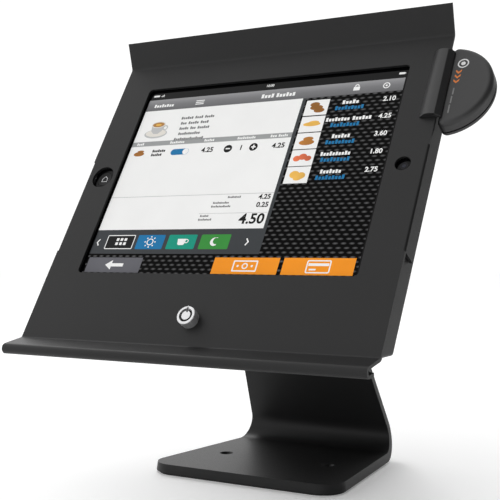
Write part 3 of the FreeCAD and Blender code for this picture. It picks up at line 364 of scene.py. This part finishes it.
class Sheet:
    """All the shapes of one colour on one layer of the picture."""

    def __init__(self, name, material, level, base=GLASS, body="stand", slot="screen_panel"):
        self.name, self.material, self.body, self.slot = name, material, body, slot
        self.back = base + LAYER * level
        self.front = self.back + LAYER
        self.build = bmesh.new()

    def shape(self, *outlines):
        for outline in outlines:
            prism(self.build, outline, self.back, self.front)
        return self

    def bars(self, *boxes, radius=0.0):
        for corners in boxes:
            self.shape(box_outline(*corners, radius))
        return self

    def band(self, outer, inner, place=on_panel):
        ring(self.build, outer, inner, self.back, self.front, place)
        return self

    def words(self, low, height, *spans):
        """Words that can't be read: runs of narrow blocks of varied height."""
        for left, right in spans:
            count = max(2, round((right - left) / (LETTER_PITCH * height)))
            step = (right - left) / count
            for index in range(count):
                start, end = left + index * step, left + (index + LETTER_WIDTH) * step
                self.bars((start, low, end, low + height * LETTER_RISE[index % len(LETTER_RISE)]))
        return self

    def number(self, text, u, v, height, align="CENTER"):
        digits(self.build, text, u, v, height, self.back, self.front, align)
        return self

    def done(self):
        mesh = bpy.data.meshes.new(self.name)
        bmesh.ops.recalc_face_normals(self.build, faces=self.build.faces)
        self.build.to_mesh(mesh)
        self.build.free()
        return new_piece(self.name, mesh, self.material, self.body)


# ---------------------------------------------------------------- colours of the display
def linear(*parts):
    """The scene's linear colour for one given as it looks, from 0 to 255."""
    shares = [part / 255 for part in parts]
    return tuple(share / 12.92 if share < 0.0404 else ((share + 0.055) / 1.055) ** 2.4 for share in shares)


GLOW = 0.25
SCREEN = {"Roughness": 0.1, "Specular_IOR_Level": 0.12}
SCREEN_LEFT = -98.3                             # edges of the picture's main areas on the panel, mm
BAR_LOW, BAR_HIGH = 184.4, 194.5
RECEIPT_RIGHT = 28.6


def lit(name, colour, spread=0.04):
    """A colour of the lit display, seen through glass. The colour is given as it looks, from 0 to 255."""
    colour = shade(linear(*colour), 1 / (1 + GLOW))
    shader = Shader("display " + name, Emission_Strength=GLOW, **SCREEN)
    tint = shader.mottle(35, shade(colour, 1 - spread), shade(colour, 1 + spread), 2)
    shader.drive("Emission Color", tint)
    return shader.material


def weave_material():
    """Soft dashes on black, each row staggered by half a dash, like a woven mesh."""
    shader = Shader("display weave", Roughness=0.1, Specular_IOR_Level=0.04)
    dash_pitch, row_pitch = 5.3, 3.1            # mm
    dash_reach, row_reach = 0.4, 0.3            # half sizes of a dash, as shares of its pitches

    def vector(operation, first, second):
        return shader.add("VectorMath", {"operation": operation}, {0: first, 1: second}).outputs[0]

    cells = vector("MULTIPLY", shader.place(panel=True), (1 / dash_pitch, 1 / row_pitch, 0))
    height = shader.add("SeparateXYZ", inputs={0: cells}).outputs["Y"]
    row = shader.add("Math", {"operation": "FLOOR"}, {0: height}).outputs[0]
    odd = shader.add("Math", {"operation": "MODULO"}, {0: row, 1: 2}).outputs[0]
    stagger = vector("MULTIPLY", shader.add("CombineXYZ", inputs={"X": odd}).outputs[0], (0.5, 0, 0))
    inside = vector("FRACTION", vector("ADD", cells, stagger), (0, 0, 0))
    reach = vector("MULTIPLY", vector("SUBTRACT", inside, (0.5, 0.5, 0)), (1 / dash_reach, 1 / row_reach, 0))
    distance = shader.add("VectorMath", {"operation": "LENGTH"}, {0: reach}).outputs["Value"]
    middle, flank, gap = (0.11, 0.11, 0.112), (0.055, 0.055, 0.056), (0.0006, 0.0006, 0.0006)
    shader.drive("Base Color", shader.ramp(distance, (0.2, middle), (0.6, flank), (1.0, gap)))
    return shader.material


def bar_material():
    """The grey tool bar, which darkens towards its lower edge."""
    shader = Shader("display bar", Emission_Strength=GLOW, **SCREEN)
    height = shader.add("SeparateXYZ", inputs={"Vector": shader.place(panel=True)}).outputs["Y"]
    foot = PANEL_ORIGIN.dot(UP)
    rise = shader.between(height, 0, 1, foot + BAR_LOW, foot + BAR_HIGH)
    low, middle, high = linear(96, 96, 98), linear(112, 112, 114), linear(140, 140, 142)
    tint = shader.ramp(rise, (0.0, low), (0.5, middle), (1.0, high))
    shader.drive("Base Color", tint)
    shader.drive("Emission Color", tint)
    return shader.material


white = lit("white", (249, 249, 248), 0.015)
ink = lit("ink", (16, 16, 16))
pale_line = lit("pale line", (196, 196, 196))
mid_grey = lit("mid grey", (160, 162, 162))
slate = lit("slate", (60, 63, 66))
button_grey = lit("button grey", (100, 100, 106), 0.1)
orange = lit("orange", (250, 152, 32))
blue = lit("blue", (24, 118, 172))
teal = lit("teal", (16, 152, 128))
green = lit("green", (58, 146, 62))
bread = lit("bread", (176, 116, 52), 0.4)
coffee = lit("coffee", (176, 128, 72), 0.2)
china = lit("china", (232, 228, 220), 0.03)
print_grey = lit("print grey", (104, 104, 104))
fruit = lit("fruit", (232, 118, 78), 0.3)
cream = lit("cream", (236, 184, 88), 0.3)


# ---------------------------------------------------------------- picture on the glass
def draw_areas():
    """The screen's backgrounds."""
    Sheet("screen_weave", weave_material(), 0).bars((SCREEN_LEFT, 49.6, 97.8, 184.6)).done()
    Sheet("screen_toolbar", bar_material(), 1).bars((SCREEN_LEFT, BAR_LOW, 97.6, BAR_HIGH)).done()
    Sheet("screen_slate", slate, 1).bars((SCREEN_LEFT, 64.7, 31.0, BAR_LOW)).done()
    Sheet("screen_receipt", white, 2).bars((SCREEN_LEFT, 83.2, RECEIPT_RIGHT, BAR_LOW)).done()
    Sheet("screen_grey_band", mid_grey, 3).bars((SCREEN_LEFT, 152.6, RECEIPT_RIGHT, 156.6)).done()


def draw_receipt():
    """Unreadable address and labels, the order's one row and its sums, and the black face of a tab."""
    small = Sheet("screen_small_print", print_grey, 3)
    address = (((-64, -54), (-52.6, -46), (-44.6, -37)), ((-63, -58), (-56.6, -48), (-46.6, -40)),
               ((-62.6, -55), (-53.6, -49), (-47.6, -38)), ((-62, -44),), ((-64, -40),))
    for line, spans in enumerate(address):
        small.words(174.6 - line * 4.6, 2.2, *spans)
    labels = ((-4.2, 5.5, 106.4), (-14, -2, 102.2), (-14.5, 0, 99.4), (-20.5, -14, 92.3), (-21, -11, 89.5))
    for left, right, low in labels:
        small.words(low, 1.5, (left, right))
    small.done()

    lines = Sheet("screen_lines", pale_line, 3)
    lines.bars((-98.0, 109.3, 28.4, 109.7), (-22.0, 94.7, 28.4, 95.0)).done()

    captions = Sheet("screen_captions", white, 4)
    captions.words(153.6, 2.0, (-94, -88), (-66, -54), (-38, -30), (-12, 2), (13, 18), (19, 26)).done()

    black = Sheet("screen_ink", ink, 4)
    black.words(146.9, 2.2, (-78.5, -67.5)).words(143.6, 2.2, (-78.5, -69.5))
    for text, u, v in (("4.25", -33.0, 146.2), ("1", -6.9, 146.4), ("4.25", 21.0, 146.4)):
        black.number(text, u, v, 4.0)
    for text, v, height in (("4.25", 106.6, 3.7), ("0.25", 100.6, 3.7), ("4.50", 90.0, 7.6)):
        black.number(text, 27.2, v, height, "RIGHT")
    black.shape(oval(-16.9, 146.3, 3.1), oval(2.5, 146.5, 3.1))
    outlined_tab = (-87.0, 69.0, -66.0, 78.2)
    black.bars(outlined_tab)
    black.done()

    minus, plus = (-18.6, 145.8, -15.2, 146.8), (0.8, 146.0, 4.2, 147.0)
    plus_below, plus_above = (2.0, 144.8, 3.0, 145.99), (2.0, 147.01, 3.0, 148.2)
    Sheet("screen_signs", white, 5).bars(minus, plus, plus_below, plus_above).done()

    Sheet("screen_toggle", blue, 4).bars((-62.6, 143.6, -48.0, 148.6), radius=2.4).done()
    Sheet("screen_toggle_knob", white, 5).shape(oval(-50.5, 146.1, 2.4)).done()


def draw_tabs():
    """The row of tabs between two arrows: six squares in an outline, a sun, a cup and a moon."""
    low, high = 68.2, 79.0
    tabs = (("blue", blue, -62.8, -41.6), ("teal", teal, -38.6, -17.2), ("green", green, -14.0, 7.6))
    for label, colour, left, right in tabs:
        Sheet("screen_tab_" + label, colour, 2).bars((left, low, right, high), radius=0.8).done()

    signs = Sheet("screen_tab_signs", white, 5)
    signs.band(box_outline(-87.8, low, -65.2, high, 0.8), box_outline(-87.2, 68.8, -65.8, 78.4, 0.4))
    for column in range(3):
        for row in range(2):
            u, v = -79.8 + column * 3.2, 71.3 + row * 3.2
            signs.bars((u, v, u + 2.1, v + 2.1), radius=0.3)

    sun_u, sun_v = -52.2, 73.6
    signs.band(oval(sun_u, sun_v, 2.6), oval(sun_u, sun_v, 1.9))
    for u, v in oval(sun_u, sun_v, 3.9, count=8):
        signs.shape(oval(u, v, 0.55, count=10))

    signs.shape([(-30.4, 71.8), (-29.4, 71.2), (-26.4, 71.2), (-25.4, 71.8), (-24.6, 75.8), (-31.2, 75.8)])
    signs.band(oval(-24.1, 74.1, 1.5), oval(-24.1, 74.1, 0.9))

    signs.shape(arc(-3.2, 73.6, 3.1, 3.1, 60, 240, 16) + arc(-1.9, 74.2, 2.5, 2.5, 285, -212, 16))

    for side, centre in ((-1, -94.1), (1, 20.0)):
        arrow = ((-0.9, 75.6), (-0.2, 76.1), (1.6, 73.4), (-0.2, 70.7), (-0.9, 71.2), (0.5, 73.4))
        signs.shape([(centre + side * u, v) for u, v in arrow][::side])
    signs.done()


def draw_buttons():
    """A back button, and two payment buttons with a bank note and a bank card."""
    Sheet("screen_back_button", button_grey, 2).bars((-96.6, 50.6, -53.0, 61.8)).done()
    Sheet("screen_pay_buttons", orange, 2).bars((1.2, 50.6, 46.6, 62.2), (49.4, 50.6, 95.5, 62.2)).done()

    signs = Sheet("screen_button_signs", white, 3)
    signs.shape([(-81.5, 56.2), (-76.4, 52.6), (-76.4, 55.0), (-67.0, 55.0), (-67.0, 57.4), (-76.4, 57.4),
                 (-76.4, 59.8)])
    signs.band(box_outline(15.4, 52.4, 32.4, 60.2, 0.6), box_outline(16.3, 53.3, 31.5, 59.3, 0.3))
    signs.band(oval(23.9, 56.3, 2.1), oval(23.9, 56.3, 1.3))
    signs.shape(oval(19.0, 56.3, 0.8, count=12), oval(28.8, 56.3, 0.8, count=12))
    signs.band(box_outline(65.0, 51.9, 80.6, 60.7, 1.1), box_outline(65.8, 52.7, 79.8, 59.9, 0.5))
    signs.bars((66.2, 56.8, 79.4, 58.6), (67.2, 53.8, 71.6, 54.9))
    signs.done()


ROW_PITCH = 13.55                               # mm between the texts of the list's rows


def draw_list():
    """The list on the right: a dish on a white tile, an unreadable name and kind, and a price in each row."""
    width, height = 16.6, 12.6
    squares = ((32.3, 169.4), (32.4, 155.9), (32.5, 142.5), (32.6, 129.2), (32.7, 116.0))
    tiles = Sheet("screen_tiles", white, 3)
    for left, low in squares:
        tiles.bars((left, low, left + width, low + height))
    tiles.done()

    pictures = (("rolls", bread, ((0, 0, 4.6, 2.0), (-1.6, 2.6, 3.4, 1.9), (2.4, -2.4, 3.8, 1.9))),
                ("plate", cream, ((0, 0, 6.2, 1.7), (1.2, 1.4, 3.6, 1.2))),
                ("bowl", bread, ((0, -1.2, 5.4, 2.2), (0.6, 1.6, 3.6, 1.6))),
                ("slices", fruit, ((-3.6, -0.4, 2.6, 2.2), (0.4, 0.8, 2.9, 2.4), (4.2, -0.6, 2.4, 2.0))),
                ("buns", cream, ((-2.0, 0.4, 3.4, 2.8), (2.6, -0.6, 3.2, 2.6), (0.6, -2.8, 2.8, 1.4))))
    for (name, colour, shapes), (left, low) in zip(pictures, squares):
        art = Sheet("screen_picture_" + name, colour, 4)
        for index, (u, v, ru, rv) in enumerate(shapes):
            # Each shape of a dish lies a little in front of the last one.
            art.back += LAYER * 0.3 * index
            art.front = art.back + LAYER * 0.9
            art.shape(oval(left + width / 2 + u, low + height / 2 + v, ru, rv))
        art.done()

    names = Sheet("screen_names", white, 2)
    kinds = Sheet("screen_kinds", blue, 2)
    entries = (("2.10", (58.4, 70.2)), ("4.25", (50.2, 67.0), (68.6, 81.7)), ("3.60", (57.7, 70.4)),
               ("1.80", (53.3, 73.9)), ("2.75", (56.5, 71.0)))
    for row, (price, *spans) in enumerate(entries):
        top = 179.9 - row * ROW_PITCH
        names.words(top - 3.0, 3.0, *spans).number(price, 94.5, top - 1.5, 3.6, "RIGHT")
        kinds.words(top - 7.6, 3.2, (54.3, 74.4))
    names.done()
    kinds.done()


def draw_cup():
    """The cup on its saucer, and the dish in the order's row."""
    u, rim_v = -81.8, 171.2
    Sheet("screen_saucer", pale_line, 3).shape(oval(u, 163.4, 9.6, 4.0)).done()
    Sheet("screen_saucer_face", china, 4).shape(oval(u, 163.9, 8.6, 3.2)).done()
    side = [(-86.2, 165.6), (-83.6, 163.2), (-80.0, 163.2), (-77.4, 165.6), (-76.0, rim_v), (-87.6, rim_v)]
    handle = [oval(-75.2, 168.2, radius) for radius in (2.2, 1.3)]
    Sheet("screen_cup", pale_line, 5).shape(side).band(*handle).done()
    Sheet("screen_cup_rim", china, 6).shape(oval(u, rim_v, 5.9, 2.7)).done()
    Sheet("screen_coffee", coffee, 7).shape(oval(u, rim_v, 5.0, 2.1)).done()
    Sheet("screen_coffee_foam", cream, 8).shape(oval(u, 171.0, 2.4, 1.0)).done()
    dish = (oval(-89.4, 146.0, 4.4, 1.9), oval(-88.6, 148.2, 2.8, 0.9))
    Sheet("screen_row_picture", bread, 4).shape(*dish).done()


def draw_bars():
    """The status line's signal, clock and battery, and the signs on the grey tool bar."""
    status = Sheet("screen_status", white, 1)
    status.number("10:30", 0, 198.2, 2.0)
    status.bars((-96.0, 197.4, -91.0, 198.9), (-89.4, 197.2, -88.8, 198.0), (-88.5, 197.2, -87.9, 198.6),
                (-87.6, 197.2, -87.0, 199.2), (92.6, 197.5, 96.6, 199.1), (96.65, 197.9, 97.1, 198.7))
    status.done()

    tools = Sheet("screen_tool_signs", white, 2)
    for row in range(3):
        tools.bars((-57.0, 187.2 + row * 1.5, -50.0, 187.9 + row * 1.5), radius=0.3)
    tools.words(187.4, 2.8, (-92.0, -75.0)).words(187.6, 3.4, (-4.0, 6.0), (7.4, 22.0))
    tools.bars((63.4, 187.4, 67.8, 190.4), radius=0.3)
    tools.band(arc(65.6, 190.6, 1.6, 1.9, 0, 180, 12), arc(65.6, 190.6, 0.9, 1.2, 0, 180, 12))
    tools.band(oval(86.0, 189.4, 2.4), oval(86.0, 189.4, 1.7))
    tools.shape(oval(86.0, 189.4, 0.7, count=12))
    tools.done()


draw_areas()
draw_receipt()
draw_tabs()
draw_buttons()
draw_list()
draw_cup()
draw_bars()


# ---------------------------------------------------------------- small details
def lens():
    """The tablet's camera behind its glass."""
    rim = Shader("lens ring", Roughness=0.3, Specular_IOR_Level=0.1)
    rim.mottle(900, (0.012, 0.012, 0.014), (0.02, 0.02, 0.024))
    circles = [oval(*CAMERA_EYE, radius, count=36) for radius in (2.6, 1.5)]
    Sheet("camera_ring", rim.material, 0).band(*circles).done()
    eye = Shader("lens", Roughness=0.08, Specular_IOR_Level=0.25)
    eye.mottle(700, (0.004, 0.005, 0.012), (0.01, 0.012, 0.03))
    Sheet("camera_lens", eye.material, 0).shape(oval(*CAMERA_EYE, 1.3, count=36)).done()


def home_mark():
    """A small outline of a house, printed in the home key's dish."""
    key_print = Shader("key print", Roughness=0.5, Specular_IOR_Level=0.2)
    key_print.mottle(900, linear(190, 190, 192), linear(212, 212, 214))
    centre_u, centre_v = HOME_KEY
    dish_bottom = -2.9                          # below the cover's face, mm
    dish_radius = 40                            # mm
    house = ((-2.3, -2.2), (2.3, -2.2), (2.3, 0.7), (0, 2.7), (-2.3, 0.7))
    rings = [[(centre_u + u * size, centre_v + v * size) for u, v in house] for size in (1.0, 0.76)]

    def dished(u, v, n):
        reach = math.hypot(u - centre_u, v - centre_v)
        return on_panel(u, v, n + dish_radius - math.sqrt(dish_radius ** 2 - reach ** 2))

    base = dish_bottom - LAYER / 2
    mark = Sheet("home_mark", key_print.material, 0, base, "home_key", "button_gloss_black")
    mark.band(*rings, dished).done()


READER_FACE = -1.2                              # front of the card reader, below the cover's face, mm


def reader_mark():
    """Generic marks on the reader's face: a ring with a dot, three arrows for the swipe, three grey bars."""
    inks = {"white": linear(225, 225, 225), "orange": linear(216, 120, 50), "grey": linear(120, 120, 120)}
    marks = {}
    for name, colour in inks.items():
        shader = Shader("reader print " + name, Roughness=0.45, Specular_IOR_Level=0.3)
        shader.mottle(700, shade(colour, 0.94), shade(colour, 1.04))
        marks[name] = Sheet("reader_mark_" + name, shader.material, 0, READER_FACE, "reader",
                            "reader_plastic")

    outer, inner, dot = (oval(134.0, 200.5, radius) for radius in (3.5, 2.75, 1.4))
    marks["white"].band(outer, inner).shape(dot)
    arrow = ((-1.8, 0.3), (0, -1.5), (1.8, 0.3), (1.8, 1.8), (0, 0), (-1.8, 1.8))
    for index in range(3):
        u, v = 132.2 - index * 0.2, 194.0 - index * 3.7
        marks["orange"].shape([(u + side, v + rise) for side, rise in arrow])
    for left, low, high in ((130.9, 176.4, 181.6), (130.7, 169.8, 175.4), (130.5, 162.5, 168.8)):
        marks["grey"].bars((left, low, left + 0.9, high), radius=0.4)
    for mark in marks.values():
        mark.done()


lens()
home_mark()
reader_mark()


# ---------------------------------------------------------------- floor, light
def add_floor():
    mesh = bpy.data.meshes.new("floor")
    size = 6                                    # m
    corners = [(-size, -size, 0), (size, -size, 0), (size, size, 0), (-size, size, 0)]
    mesh.from_pydata(corners, [], [(0, 1, 2, 3)])
    shader = Shader("floor", Roughness=0.7, Emission_Color=(1, 1, 1), Emission_Strength=0.2)
    shader.mottle(3, (0.91, 0.91, 0.91), (0.93, 0.93, 0.93))
    mesh.materials.append(shader.material)
    floor = bpy.data.objects.new("floor", mesh)
    bpy.context.collection.objects.link(floor)


def add_sky():
    """White light from all round that fades towards +X. The camera sees an even white backdrop instead."""
    world = bpy.data.worlds.new("studio")
    bpy.context.scene.world = world
    world.use_nodes = True
    sky = world.node_tree
    direction = sky.nodes.new("ShaderNodeTexCoord").outputs["Generated"]
    split = sky.nodes.new("ShaderNodeSeparateXYZ")
    fade = sky.nodes.new("ShaderNodeMapRange")
    for entry, value in (("From Min", -0.1), ("From Max", 0.55), ("To Min", 1.25), ("To Max", 0.1)):
        fade.inputs[entry].default_value = value
    light = sky.nodes["Background"]
    light.inputs["Color"].default_value = (1, 1, 1, 1)
    backdrop = sky.nodes.new("ShaderNodeBackground")
    backdrop.inputs["Color"].default_value = (1, 1, 1, 1)
    backdrop.inputs["Strength"].default_value = 1.1
    rays = sky.nodes.new("ShaderNodeLightPath")
    choose = sky.nodes.new("ShaderNodeMixShader")
    for source, target in ((direction, split.inputs[0]), (split.outputs["X"], fade.inputs["Value"]),
                           (fade.outputs["Result"], light.inputs["Strength"]),
                           (rays.outputs["Is Camera Ray"], choose.inputs[0]),
                           (light.outputs[0], choose.inputs[1]), (backdrop.outputs[0], choose.inputs[2]),
                           (choose.outputs[0], sky.nodes["World Output"].inputs["Surface"])):
        sky.links.new(source, target)
    bpy.context.scene.view_settings.view_transform = "Standard"


def add_key_light():
    """A soft light above, behind and left of the kiosk, aimed at it."""
    place, target = Vector((-1.3, 1.1, 1.7)), Vector((0, -0.03, 0.1))
    data = bpy.data.lights.new("key", "AREA")
    data.size = 0.7                             # m
    data.energy = 9                             # W
    light = bpy.data.objects.new("key", data)
    bpy.context.collection.objects.link(light)
    light.location = place
    light.rotation_mode = "QUATERNION"
    light.rotation_quaternion = (target - place).to_track_quat("-Z", "Y")


add_floor()
add_sky()
add_key_light()
